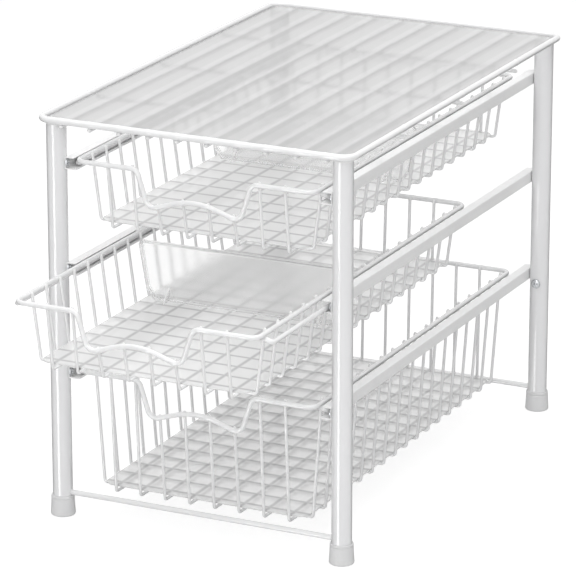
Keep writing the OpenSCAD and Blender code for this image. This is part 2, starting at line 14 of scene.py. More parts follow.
import bpy
import numpy as np
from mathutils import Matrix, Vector


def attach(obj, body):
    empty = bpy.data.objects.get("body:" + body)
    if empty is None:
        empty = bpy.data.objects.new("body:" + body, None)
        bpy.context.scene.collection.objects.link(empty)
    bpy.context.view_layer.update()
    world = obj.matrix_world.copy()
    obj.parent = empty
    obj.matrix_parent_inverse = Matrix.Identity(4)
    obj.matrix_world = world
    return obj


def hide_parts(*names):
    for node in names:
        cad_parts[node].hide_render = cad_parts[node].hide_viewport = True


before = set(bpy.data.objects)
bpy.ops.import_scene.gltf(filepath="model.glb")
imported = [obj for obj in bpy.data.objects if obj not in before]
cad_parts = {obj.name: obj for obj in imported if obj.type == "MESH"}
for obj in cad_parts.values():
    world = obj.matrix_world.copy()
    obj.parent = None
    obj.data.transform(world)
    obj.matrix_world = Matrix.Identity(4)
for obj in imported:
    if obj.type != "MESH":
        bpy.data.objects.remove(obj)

log = logging.getLogger("organiser")
Array = np.ndarray
Points = Sequence[Sequence[float]]
Socket = bpy.types.NodeSocket

MM = 0.001
FRAME_Y = 50.05  # the middle of the four posts; the pulled-out basket stands in front
GRID_MAP = "grid"
TINY = 1e-9
SHEET_STEPS = 61
WHITE = "#ffffff"
UP = np.array([0.0, 0.0, 1.0])
ACROSS = np.array([1.0, 0.0, 0.0])
ALONG = np.array([0.0, 1.0, 0.0])


class Place(Enum):
    """A choice among places."""

    @property
    def label(self) -> str:
        """The place's name as bodies, nodes and pieces spell it."""
        return self.name.lower()


class Side(Place):
    """Left or right half of the frame."""

    LEFT = -1
    RIGHT = 1


class End(Place):
    """Front or rear end of the frame."""

    FRONT = -1
    REAR = 1


class Tier(Place):
    """One of the three baskets, counted from the floor."""

    BOTTOM = 0
    MIDDLE = 1
    TOP = 2


POSTS = tuple((end, side, f"{end.label}_{side.label}") for end in End for side in Side)


# ---- Surfaces ----


def unit(v: Array) -> Array:
    """Vectors made one long: each row divided by its length."""
    return v / np.linalg.norm(v, axis=-1, keepdims=True)


@dataclass
class Form:
    """A surface: its points in millimetres, and its faces as lists of point numbers."""

    points: Array
    faces: list[list[int]]

    def moved(self, shift: Sequence[float]) -> "Form":
        """The same surface with every point moved by shift."""
        return Form(self.points + np.asarray(shift, float), self.faces)

    def turned(self, origin: Sequence[float], axis: Array) -> "Form":
        """Stands its own z along an axis, x along u = unit(r x axis) and y along axis x u.

        Args:
            origin: Where the surface's own origin goes.
            axis: The direction, one long; r is Z, or X if it is upright.

        Returns:
            The turned surface.
        """
        helper = ACROSS if abs(axis[2]) > 0.9 else UP
        u = unit(np.cross(helper, axis))
        basis = np.stack([u, np.cross(axis, u), axis])
        return Form(self.points @ basis + np.asarray(origin, float), self.faces)


def joined(forms: Sequence[Form]) -> Form:
    """One surface of several, with each one's point numbers raised by those before it."""
    faces: list[list[int]] = []
    count = 0
    for form in forms:
        faces.extend([[i + count for i in face] for face in form.faces])
        count += len(form.points)
    return Form(np.concatenate([form.points for form in forms]), faces)


def grid_faces(rows: int, cols: int, wrap_rows: bool, wrap_cols: bool) -> list[list[int]]:
    """Four-sided faces between neighbouring points of a grid.

    Args:
        rows: Number of rows.
        cols: Points in a row.
        wrap_rows: Whether the last row joins the first.
        wrap_cols: Whether a row's last point joins its first.

    Returns:
        The faces, with points counted row by row.
    """
    i, j = np.meshgrid(
        np.arange(rows if wrap_rows else rows - 1),
        np.arange(cols if wrap_cols else cols - 1),
        indexing="ij",
    )
    below, beside = (i + 1) % rows, (j + 1) % cols
    quads = [i * cols + j, i * cols + beside, below * cols + beside, below * cols + j]
    return np.stack(quads, -1).reshape(-1, 4).tolist()


def shell(rings: Array, loop: bool = False, poles: Array | None = None) -> Form:
    """Closed surface through a row of rings of points.

    Args:
        rings: Points, as ring x point x 3.
        loop: Whether the last ring joins the first.
        poles: The two points in which the ends close, or None for flat ends.

    Returns:
        The surface, with its ends closed.
    """
    count, around = rings.shape[:2]
    faces = grid_faces(count, around, loop, True)
    points = rings.reshape(-1, 3)
    if loop:
        return Form(points, faces)
    first = np.arange(around)
    last = first + (count - 1) * around
    if poles is None:
        return Form(points, faces + [first[::-1].tolist(), last.tolist()])
    start = np.full(around, len(points))
    faces += np.stack([start, np.roll(first, -1), first], 1).tolist()
    faces += np.stack([start + 1, last, np.roll(last, -1)], 1).tolist()
    return Form(np.vstack([points, poles]), faces)


def bent_path(
    corners: Points,
    radii: Sequence[float],
    loop: bool = False,
    step: float = 9.0,
    guard: float = 0.0,
) -> Array:
    """Centre line of a bent wire: straight runs joined by circular arcs.

    Where the line turns by an angle t, an arc of radius r starts r tan(t/2) before the
    corner. Its points are start + s r (1 - cos a) + u r sin a for a from 0 to t, where u is
    the direction in which the wire arrives and s points to the arc's centre.

    Args:
        corners: The sharp corner points.
        radii: Bend radius at each corner; 0 leaves the point as it is.
        loop: Whether the wire closes on itself.
        step: Largest angle between an arc's points, in degrees.
        guard: Distance from each arc of a point that keeps the straight run's shading.

    Returns:
        The points of the line.
    """
    p = np.asarray(corners, float)
    runs: list[Array] = []
    for k, r in enumerate(radii):
        if r <= 0 or (not loop and k in (0, len(p) - 1)):
            runs.append(p[k][None])
            continue
        u, v = unit(p[k] - p[k - 1]), unit(p[(k + 1) % len(p)] - p[k])
        turn = math.acos(float(np.clip(u @ v, -1.0, 1.0)))
        side = unit(v - (u @ v) * u)
        a = np.linspace(0.0, turn, max(3, math.ceil(math.degrees(turn) / step) + 1))[:, None]
        start = p[k] - u * r * math.tan(turn / 2)
        arc = start + side * r * (1 - np.cos(a)) + u * r * np.sin(a)
        if guard > 0:
            arc = np.vstack([arc[:1] - u * guard, arc, arc[-1:] + v * guard])
        runs.append(arc)
    return np.concatenate(runs)


def lengths_along(path: Array) -> Array:
    """Distance of each point of a line from its first point, along the line."""
    return np.concatenate([[0.0], np.cumsum(np.linalg.norm(np.diff(path, axis=0), axis=1))])


@dataclass(frozen=True)
class Coat:
    """Plastic coat of a wire, which gathers in a soft collar at each weld.

    Points are added at the marks, in reaches from a weld, but not within the margin of an end.
    """

    build_up: float = 0.22
    reach: float = 1.5
    marks: tuple[float, ...] = (-1.7, -0.8, 0.0, 0.8, 1.7)
    margin: float = 0.3

    def stations(self, path: Array, radius: float, welds: Array, loop: bool) -> tuple[Array, Array]:
        """Points and radii of a coated wire.

        The radius is r + b exp(-(d / w)^2), with d the distance along the wire from the
        nearest weld, b the build-up and w its reach.

        Args:
            path: The wire's centre line.
            radius: Radius between the welds.
            welds: Points where other wires are welded on.
            loop: Whether the wire closes on itself.

        Returns:
            The line with points added at the collars, and the radius at each.
        """
        line = np.vstack([path, path[:1]]) if loop else path
        s = lengths_along(line)
        legs = np.diff(line, axis=0)
        size = np.maximum((legs**2).sum(1), TINY)
        share = np.clip(((welds[:, None] - line[None, :-1]) * legs).sum(2) / size, 0.0, 1.0)
        gap = np.linalg.norm(line[:-1] + share[..., None] * legs - welds[:, None], axis=2)
        leg = gap.argmin(1)
        at = s[leg] + share[np.arange(len(welds)), leg] * np.sqrt(size[leg])
        extra = (at[:, None] + self.reach * np.array(self.marks)).ravel()
        extra = extra[(extra > self.margin) & (extra < s[-1] - self.margin)]
        stations = np.unique(np.round(np.concatenate([s, extra]), 3))
        near = np.abs(stations[:, None] - at).min(1)
        radii = radius + self.build_up * np.exp(-((near / self.reach) ** 2))
        if loop:
            stations, radii = stations[:-1], radii[:-1]
        points = np.stack([np.interp(stations, s, line[:, k]) for k in range(3)], 1)
        return points, radii

    def wire(
        self, path: Array, radius: float, welds: Points, square_to: Array,
        sides: int, loop: bool = False,
    ) -> Form:
        """The coated wire's surface, with the arguments of stations and tube."""
        points, radii = self.stations(path, radius, np.array(welds), loop)
        return tube(points, radii, square_to, sides, loop)


def tube(path: Array, radius: Array | float, square_to: Array, sides: int, loop: bool = False) -> Form:
    """Round wire carried along a line, with domed ends.

    A ring's points are p + r (cos t a + sin t b), where a is square to the line and to
    square_to, and b to the line and a. A dome is a row of rings set in by r (1 - sin f)
    with the radius r cos f.

    Args:
        path: The centre line.
        radius: Radius, or one for each point.
        square_to: A vector that the line never runs along.
        sides: Points round a ring.
        loop: Whether the wire closes on itself.

    Returns:
        The wire's closed surface.
    """
    r = np.broadcast_to(np.asarray(radius, float), (len(path),))
    ends = path[[0, -1]]
    if not loop:
        f = np.radians([75.0, 50.0, 25.0, 0.0])
        first, last = unit(path[1] - path[0]), unit(path[-2] - path[-1])
        set_in = (1 - np.sin(f))[:, None]
        head = path[0] + first * r[0] * set_in
        tail = (path[-1] + last * r[-1] * set_in)[::-1]
        s = lengths_along(path)
        keep = (s > r[0] * 1.05) & (s < s[-1] - r[-1] * 1.05)
        path = np.vstack([head, path[keep], tail])
        r = np.concatenate([r[0] * np.cos(f), r[keep], r[-1] * np.cos(f[::-1])])
        legs = unit(np.diff(path, axis=0))
        along = unit(np.vstack([legs[:1], legs]) + np.vstack([legs, legs[-1:]]))
    else:
        legs = unit(np.roll(path, -1, 0) - path)
        along = unit(legs + np.roll(legs, 1, 0))
    a = unit(np.cross(square_to, along))
    b = np.cross(along, a)
    t = (np.arange(sides) + 0.5) * 2 * math.pi / sides
    rings = path[:, None] + r[:, None, None] * (
        np.cos(t)[None, :, None] * a[:, None] + np.sin(t)[None, :, None] * b[:, None]
    )
    return shell(rings, loop, None if loop else ends)


def lathe(profile: Points, segments: int) -> Form:
    """Surface of revolution about z: the point (r, z) goes to (r cos t, r sin t, z).

    Args:
        profile: Radius and height along the outline, from pole to pole.
        segments: Points round a ring.

    Returns:
        The closed surface.
    """
    line = np.asarray(profile, float)
    t = np.arange(segments) * 2 * math.pi / segments
    inner = line[1:-1]
    rings = np.stack(
        [
            inner[:, :1] * np.cos(t),
            inner[:, :1] * np.sin(t),
            np.repeat(inner[:, 1:], segments, 1),
        ],
        -1,
    )
    poles = np.array([[0.0, 0.0, line[0, 1]], [0.0, 0.0, line[-1, 1]]])
    return shell(rings, poles=poles)


def drawn_out(outline: Array, start: float, stop: float) -> Form:
    """Straight profile along y: the outline's x and z at the two ends."""
    ring = np.stack([outline[:, 0], np.zeros(len(outline)), outline[:, 1]], 1)
    rings = np.stack([ring + ALONG * start, ring + ALONG * stop])
    return shell(rings)


def sheet_axis(half: float, corner: float, count: int) -> Array:
    """Grid lines across a sheet: a few close to each edge and count - 1 equal steps between."""
    edge = half - corner * np.array([0.0, 0.08, 0.25, 0.5, 0.75])
    return np.concatenate([-edge, np.linspace(corner - half, half - corner, count), edge[::-1]])


def sheet(
    size: tuple[float, float], corner: float, thick: float, waves: tuple[float, float, float]
) -> Form:
    """Thin sheet with round corners and edges, which dips a little between what carries it.

    The middle surface is z = -d (1 - cos(2 pi x / p)) / 2 - d sin(2 pi y / q) / 3, with d
    the dip, and fades to 0 over the last 1/12 of the half width and 1/16 of the half length.
    In the corner squares a point (x, y) is drawn in to the circle by max(x, y) / hypot(x, y).
    The rim is a half round: rings at z = h sin f set in by h (1 - cos f).

    Args:
        size: Half width and half length.
        corner: Radius of the corners.
        thick: Thickness.
        waves: Dip, its pitch p across and its pitch q along.

    Returns:
        The closed sheet, its middle at the origin.
    """
    axes = [sheet_axis(half, corner, SHEET_STEPS) for half in size]
    x, y = np.meshgrid(*axes, indexing="ij")
    u = np.maximum(np.abs(x) - size[0] + corner, 0.0)
    v = np.maximum(np.abs(y) - size[1] + corner, 0.0)
    pull = np.maximum(u, v) / np.maximum(np.hypot(u, v), TINY)
    pull = np.where((u > 0) & (v > 0), pull, 1.0)
    x = np.sign(x) * (np.abs(x) - u + u * pull)
    y = np.sign(y) * (np.abs(y) - v + v * pull)
    dip, across, along = waves
    fade = np.clip((1 - np.abs(x) / size[0]) * 12, 0, 1)
    fade = fade * np.clip((1 - np.abs(y) / size[1]) * 16, 0, 1)
    z = -dip * ((1 - np.cos(2 * np.pi * x / across)) / 2 + np.sin(2 * np.pi * y / along) / 3)
    z = z * fade
    rows, cols = x.shape
    half = thick / 2
    top, low = [np.stack([x, y, z + h], -1).reshape(-1, 3) for h in (half, -half)]
    count = len(top)
    edge = np.concatenate([
        np.arange(cols),
        np.arange(1, rows) * cols + cols - 1,
        (rows - 1) * cols + np.arange(cols - 2, -1, -1),
        np.arange(rows - 2, 0, -1) * cols,
    ])
    upper = grid_faces(rows, cols, False, False)
    faces = [face[::-1] for face in upper] + [[i + count for i in face] for face in upper]
    middle = (top[edge] + low[edge]) / 2
    chord = unit(np.roll(middle, -1, 0) - np.roll(middle, 1, 0))
    inward = np.stack([chord[:, 1], -chord[:, 0], np.zeros(len(edge))], 1)
    turn = np.radians([90.0, 55.0, 20.0, -20.0, -55.0, -90.0])
    rim = [middle + inward * half * (1 - math.cos(f)) + UP * half * math.sin(f) for f in turn]
    top[edge], low[edge] = rim[0], rim[-1]
    ring = 2 * count + np.arange(len(edge))
    between = [ring + k * len(edge) for k in range(len(turn) - 2)]
    rows_of = [edge, *between, count + edge]
    for a, b in zip(rows_of[:-1], rows_of[1:]):
        faces += np.stack([a, np.roll(a, -1), np.roll(b, -1), b], 1).tolist()
    return Form(np.vstack([top, low, *rim[1:-1]]), faces)


# ---- Finishes ----


def linear(code: str) -> tuple[float, float, float, float]:
    """Linear colour of an sRGB hex code: c / 12.92, or ((c + 0.055) / 1.055)^2.4 above 0.04."""
    parts = [int(code[i : i + 2], 16) / 255 for i in (1, 3, 5)]
    r, g, b = [c / 12.92 if c <= 0.04045 else ((c + 0.055) / 1.055) ** 2.4 for c in parts]
    return (r, g, b, 1.0)


class Nodes:
    """Node tree of a material or a world, with the nodes that several of them share."""

    def __init__(self, owner: bpy.types.ID) -> None:
        """Empties the owner's node tree."""
        owner.use_nodes = True
        self.owner = owner
        self.tree = owner.node_tree
        self.tree.nodes.clear()

    def add(
        self, kind: str, inputs: dict[Any, Any] | None = None, out: int | str = 0, **settings: Any
    ) -> Socket:
        """Adds a node with its settings, socket values and links.

        Args:
            kind: The node's type, after "ShaderNode".
            inputs: Value or linked output for each socket, by name or number.
            out: Name or number of the wanted output.
            settings: Attributes of the node.

        Returns:
            The wanted output.
        """
        node = self.tree.nodes.new(f"ShaderNode{kind}")
        for name, value in settings.items():
            setattr(node, name, value)
        for key, value in (inputs or {}).items():
            if isinstance(value, Socket):
                self.tree.links.new(value, node.inputs[key])
            else:
                node.inputs[key].default_value = value
        return node.outputs[out]

    def show(self, surface: Socket) -> None:
        """Links the finished surface to the owner's output."""
        output = self.tree.nodes.new(f"ShaderNodeOutput{self.owner.bl_rna.identifier}")
        self.tree.links.new(surface, output.inputs["Surface"])

    @cached_property
    def place(self) -> Socket:
        """Object coordinates."""
        return self.add("TexCoord", out="Object")

    def math(self, operation: str, first: Any, second: Any = 0.0) -> Socket:
        """Result of an operation on one or two numbers."""
        return self.add("Math", {0: first, 1: second}, operation=operation)

    def texture(self, kind: str, size_mm: float, **inputs: float) -> Socket:
        """Pattern on Object coordinates whose cells have a size."""
        return self.add(kind, {"Vector": self.place, "Scale": 1 / (size_mm * MM), **inputs})

    def mix(self, share: Any, first: Any, second: Any, blend: str = "MIX") -> Socket:
        """Colour between two: the first where the share is 0, the second where it is 1."""
        inputs = {0: share, 6: first, 7: second}
        return self.add("Mix", inputs, 2, data_type="RGBA", blend_type=blend)

    def uneven(self, pattern: Socket, level: float, less: float, more: float) -> Socket:
        """Number about a level: less where a cloudy pattern is thin, more where it is dense."""
        thin, dense = 0.3, 0.7
        return self.add("MapRange", {0: pattern, 1: thin, 2: dense, 3: level - less, 4: level + more})

    def bump(self, height: Socket, depth_mm: float, strength: float) -> Socket:
        """Normal of a surface that a pattern raises by a depth."""
        return self.add("Bump", {"Height": height, "Strength": strength, "Distance": depth_mm * MM})


@dataclass(frozen=True)
class Substance:
    """What all finishes have: a name, two close tones, and the roughness of the surface."""

    name: str
    colour: str
    shade: str
    roughness: float

    def nodes(self) -> Nodes:
        """The empty node tree of a new material with the finish's name."""
        return Nodes(bpy.data.materials.new(self.name))

    def tone(self, n: Nodes, pattern: Socket) -> Socket:
        """The finish's colour: its two tones mixed by a pattern."""
        return n.mix(pattern, linear(self.colour), linear(self.shade))


@dataclass(frozen=True)
class CoatedMetal(Substance):
    """Powder or dipped plastic coat on steel.

    Its powder melts into a skin with a faint orange peel, so highlights are soft-edged and
    slightly broken up, and it lies a little greyer in broad, hardly visible patches.
    """

    peel_mm: float
    peel_depth_mm: float
    coat: float
    sheen: float
    coat_roughness: float = 0.12
    patch_mm: float = 60.0
    index: float = 1.5

    def material(self) -> bpy.types.Material:
        """Builds the material."""
        n = self.nodes()
        patches = n.texture("TexNoise", self.patch_mm, Detail=3.0)
        peel = n.texture("TexNoise", self.peel_mm, Detail=2.0)
        n.show(n.add("BsdfPrincipled", {
            "Base Color": self.tone(n, patches),
            "Roughness": n.uneven(patches, self.roughness, less=0.04, more=0.05),
            "Normal": n.bump(peel, self.peel_depth_mm, strength=0.5),
            "IOR": self.index,
            "Specular IOR Level": self.sheen,
            "Coat Weight": self.coat,
            "Coat Roughness": self.coat_roughness,
        }))
        return n.owner


@dataclass(frozen=True)
class MouldedPlastic(Substance):
    """Opaque moulded polypropylene.

    Spark-eroded moulds leave it a fine matt grain, so it has a broad soft sheen and no
    sharp reflections.
    """

    cloud_mm: float = 18.0
    grain_mm: float = 0.7
    grain_depth_mm: float = 0.05
    index: float = 1.49

    def material(self) -> bpy.types.Material:
        """Builds the material."""
        n = self.nodes()
        grain = n.texture("TexVoronoi", self.grain_mm)
        n.show(n.add("BsdfPrincipled", {
            "Base Color": self.tone(n, n.texture("TexNoise", self.cloud_mm, Detail=4.0)),
            "Roughness": self.roughness,
            "Normal": n.bump(grain, self.grain_depth_mm, strength=0.35),
            "IOR": self.index,
        }))
        return n.owner


@dataclass(frozen=True)
class PlasticSheet(Substance):
    """Translucent plastic: polypropylene with a frosted face, or clear polystyrene.

    Part of the light scatters back white and the rest passes, blurred by the frosting, so
    what lies right under it shows as soft lines; the mat and liner also get painted
    highlight and painted shade along their wires. A level sheet's cut edge scatters all
    light and shows as a white line. Lamps shine through.
    """

    passes: float
    lamp_share: float
    grain_mm: float
    grain_depth_mm: float
    index: float
    level: bool = False
    cloud_mm: float = 35.0
    rib_mm: float = 0.0
    # Tones of the painted highlight over each of the mat's wires and of the painted shade beside it.
    rib_light: str = WHITE
    rib_dark: str = WHITE
    rib_plain: tuple[str, str] = ("#f2f2f2", "#f4f4f4")
    # Colour of the painted shade lines over the wires, or empty for none.
    line: str = ""
    line_reach: tuple[float, float] = (0.02, 0.12)

    def material(self) -> bpy.types.Material:
        """Builds the material."""
        n = self.nodes()
        colour = self.tone(n, n.texture("TexNoise", self.cloud_mm, Detail=5.0))
        # Painted highlight and painted shade along the mat's wires.
        if self.rib_mm:
            colour = self.ribs(n, colour)
        # Painted shade lines over the liner's wires.
        if self.line:
            colour = self.contact(n, colour)
        grain = n.texture("TexNoise", self.grain_mm, Detail=3.0)
        surface = n.add("NewGeometry").node.outputs
        passes: Any = self.passes
        if self.level:
            upright = n.add("SeparateXYZ", {0: surface["True Normal"]}, 2)
            passes = n.math("MULTIPLY", n.math("ABSOLUTE", upright), self.passes)
        skin = n.add("BsdfPrincipled", {
            "Base Color": colour,
            "Roughness": self.roughness,
            "Normal": n.bump(grain, self.grain_depth_mm, strength=0.4),
            "IOR": self.index,
            "Transmission Weight": n.math("MAXIMUM", surface["Backfacing"], passes),
        })
        lamps = n.math("MULTIPLY", n.add("LightPath", out="Is Shadow Ray"), self.lamp_share)
        open_way = n.add("BsdfTransparent", {"Color": linear(WHITE)})
        n.show(n.add("MixShader", {0: lamps, 1: skin, 2: open_way}))
        return n.owner

    def contact(self, n: Nodes, colour: Socket) -> Socket:
        """Painted shade: soft grey lines where the sheet rests on the wires, in place of their contact
        shade.

        The distance from a wire is |fraction of the grid's coordinate - 0.5| pitches; the
        nearer of the two directions sets the tone.

        Args:
            n: The material's nodes.
            colour: The sheet's own colour.

        Returns:
            The colour with the lines.
        """
        grid = n.add("SeparateXYZ", {0: n.add("UVMap", uv_map=GRID_MAP)}).node.outputs
        away = [n.math("ABSOLUTE", n.math("SUBTRACT", n.math("FRACT", part), 0.5)) for part in grid[:2]]
        start, stop = self.line_reach
        inputs = {0: n.math("MINIMUM", *away), 1: start, 2: stop}
        clear = n.add("MapRange", inputs, interpolation_type="SMOOTHSTEP")
        return n.mix(clear, linear(self.line), colour)

    def ribs(self, n: Nodes, colour: Socket) -> Socket:
        """Painted highlight where the sheet lies on a wire, and painted shade of the wire beside it.

        The phase is the fraction of (x / pitch), 0.5 over a wire; the ramp's stops give the
        tone at each phase.

        Args:
            n: The material's nodes.
            colour: The sheet's own colour.

        Returns:
            The colour times the ramp.
        """
        x = n.add("SeparateXYZ", {0: n.place})
        phase = n.math("FRACT", n.math("MULTIPLY", x, 1 / (self.rib_mm * MM)))
        tone = n.add("ValToRGB", {0: phase})
        ramp = tone.node.color_ramp
        ramp.interpolation = "EASE"
        plain, beside = self.rib_plain
        stops = (
            (0.0, plain), (0.3, beside), (0.43, self.rib_light), (0.58, self.rib_light),
            (0.72, self.rib_dark), (0.85, self.rib_dark), (1.0, plain),
        )
        for k, (at, code) in enumerate(stops):
            stop = ramp.elements[k] if k < 2 else ramp.elements.new(at)
            stop.position, stop.color = at, linear(code)
        return n.mix(1.0, colour, tone, "MULTIPLY")


@dataclass(frozen=True)
class PlatedSteel(Substance):
    """Bright zinc-plated steel of small screws, with a faint spangle from the plating bath."""

    spangle_mm: float = 1.2

    def material(self) -> bpy.types.Material:
        """Builds the material."""
        n = self.nodes()
        spangle = n.texture("TexNoise", self.spangle_mm, Detail=2.0)
        n.show(n.add("BsdfPrincipled", {
            "Base Color": self.tone(n, spangle),
            "Roughness": n.uneven(spangle, self.roughness, less=0.06, more=0.08),
            "Metallic": 1.0,
        }))
        return n.owner


class Finish(Enum):
    """The finishes, each with the record's slot that it belongs to."""

    POST = "post_coating"
    RAIL = "rail_coating"
    WIRE = "wire_coating"
    CAP = "cap_plastic"
    FOOT = "foot_plastic"
    MAT = "mat_plastic"
    LINER = "liner_plastic"
    DIVIDER = "divider_plastic"
    SCREW = "screw_zinc"


FINISHES = {
    Finish.POST: CoatedMetal(
        "powder-coated steel tube", "#f1f1f2", "#ececed", 0.36, 1.4, 0.008, 0.9, 0.4
    ),
    Finish.RAIL: CoatedMetal(
        "powder-coated folded steel", "#fafafa", "#f6f6f6", 0.42, 1.4, 0.015, 0.0, 0.3
    ),
    Finish.WIRE: CoatedMetal(
        "vinyl-coated steel wire", "#f2f2f2", "#ededee", 0.36, 3.0, 0.006, 0.9, 0.4
    ),
    Finish.CAP: MouldedPlastic("moulded white polyethylene", "#f6f6f6", "#f1f1f1", 0.45),
    Finish.FOOT: MouldedPlastic("moulded grey polypropylene", "#e8e8e8", "#e0e0e1", 0.5),
    Finish.MAT: PlasticSheet(
        "frosted polypropylene mat", "#dbdbdb", "#d5d5d5", 0.08, 0.5, 0.92, 1.0, 0.003, 1.25, True,
        # The rib colours are a painted highlight over each wire and painted shade beside it.
        rib_mm=26.578, rib_light="#fdfdfd", rib_dark="#e9e9e9",
    ),
    Finish.LINER: PlasticSheet(
        "frosted polypropylene liner", "#f7f7f7", "#f2f2f2", 0.17, 0.4, 0.97, 0.9, 0.001, 1.25,
        # The line colour is painted shade over the liner's wires.
        True, line="#cecece",
    ),
    Finish.DIVIDER: PlasticSheet(
        "misty moulded polystyrene", "#fefefe", "#fbfbfb", 0.2, 0.84, 0.97, 6.0, 0.003, 1.4
    ),
    Finish.SCREW: PlatedSteel("zinc-plated steel", "#d2d4d6", "#b9bbbe", 0.32),
}


def placed(name: str, data: bpy.types.ID) -> bpy.types.Object:
    """A new object in the scene for a mesh, a lamp or a camera."""
    obj = bpy.data.objects.new(name, data)
    bpy.context.scene.collection.objects.link(obj)
    return obj


def aimed(name: str, data: bpy.types.ID, place: Vector, towards: Vector) -> bpy.types.Object:
    """A new lamp or camera at a place in metres that looks in a direction."""
    obj = placed(name, data)
    obj.location = place
    obj.rotation_mode = "QUATERNION"
    obj.rotation_quaternion = towards.to_track_quat("-Z", "Y")
    return obj


class Workshop:
    """Turns forms into finished pieces: makes the mesh, dresses it and ties it to its body."""

    def __init__(self) -> None:
        """Builds every finish's material once."""
        self.materials = {finish: spec.material() for finish, spec in FINISHES.items()}
        self.made = 0

    def piece(
        self, name: str, form: Form, finish: Finish, body: str, replaced: Sequence[str],
        sharp: float = 40.0, grid: Array | None = None,
    ) -> None:
        """Makes one piece that stands for CAD nodes.

        Args:
            name: The piece's name.
            form: Its surface, in place.
            finish: What it is made of.
            body: The CAD body that it rides on.
            replaced: The CAD nodes that it stands for.
            sharp: Angle in degrees above which an edge isn't shaded smooth.
            grid: Each point's place in the grid of wires, in pitches; n + 0.5 is on a wire.
        """
        mesh = bpy.data.meshes.new(name)
        mesh.from_pydata((form.points * MM).tolist(), [], form.faces)
        mesh.validate()
        mesh.shade_smooth()
        mesh.set_sharp_from_angle(angle=math.radians(sharp))
        mesh.materials.append(self.materials[finish])
        if grid is not None:
            corner_points = np.zeros(len(mesh.loops), int)
            mesh.loops.foreach_get("vertex_index", corner_points)
            layer = mesh.uv_layers.new(name=GRID_MAP)
            layer.uv.foreach_set("vector", grid[corner_points].ravel())
        obj = placed(name, mesh)
        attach(obj, body)
        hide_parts(*replaced)
        self.made += 1
        log.info("%s: %d points, finish %s", name, len(form.points), finish.name.lower())

    def dress(self, node: str, finish: Finish) -> None:
        """Gives a CAD node that stays its finish."""
        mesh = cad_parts[node].data
        mesh.materials.clear()
        mesh.materials.append(self.materials[finish])
        log.info("%s: kept, finish %s", node, finish.name.lower())


# ---- Sub-assemblies ----


@dataclass(frozen=True)
class Screw:
    """Pan-head screw with a cross recess, head on z = 0 and shank downwards."""

    shank_d: float
    head_d: float
    head_h: float
    reach: float = 7.0
    skirt: float = 0.25
    neck: float = 0.2
    point: float = 0.6
    recess_w: float = 1.2
    recess_depth: float = 1.0
    recess_slope: float = 0.24
    arm_share: float = 0.31
    arm_slope: float = 0.3
    rings: int = 16
    around: int = 48

    def recess(self, along: Array, beside: Array) -> Array:
        """Share of the recess's depth in one of its two arms, with walls that slope.

        It is clip((w / 2 + s / 2 - |r|) / s) clip((a - |p|) / (e a)), with the arm's length
        a and width w, and the slopes s of its sides and e of its end.

        Args:
            along: Distance p from the screw's axis.
            beside: Distance r from the arm's middle line.

        Returns:
            The share, from 0 to 1.
        """
        arm = self.head_d * self.arm_share
        wide = (self.recess_w + self.recess_slope) / 2 - np.abs(beside)
        wide = np.clip(wide / self.recess_slope, 0, 1)
        return wide * np.clip((arm - np.abs(along)) / (self.arm_slope * arm), 0, 1)

    def form(self) -> Form:
        """The screw's surface.

        The head's top is a flat dome, z = h (1 - (q / R)^4)^0.5 for the radius q, which ends
        on a low skirt and is lowered by the cross recess.

        Returns:
            The closed surface.
        """
        radius, shank = self.head_d / 2, self.shank_d / 2
        share = np.sin(np.linspace(0.06, math.pi / 2, self.rings))
        t = np.arange(self.around) * 2 * math.pi / self.around
        x, y = radius * share[:, None] * np.cos(t), radius * share[:, None] * np.sin(t)
        dome = np.sqrt(1 - share**4)
        dome[-1] = self.skirt
        z = self.head_h * dome[:, None] + np.zeros_like(x)
        z = z - self.recess_depth * np.maximum(self.recess(x, y), self.recess(y, x))
        lower = [
            (radius, 0.0), (shank + self.neck, 0.0), (shank, -self.neck),
            (shank, -self.reach + self.point), (shank - self.point, -self.reach),
        ]
        ring = [np.stack([r * np.cos(t), r * np.sin(t), np.full(self.around, h)], 1) for r, h in lower]
        rings = np.concatenate([np.stack([x, y, z], -1), np.stack(ring)])[::-1]
        poles = np.array([[0, 0, -self.reach], [0, 0, self.head_h - self.recess_depth]])
        return shell(rings, poles=poles)


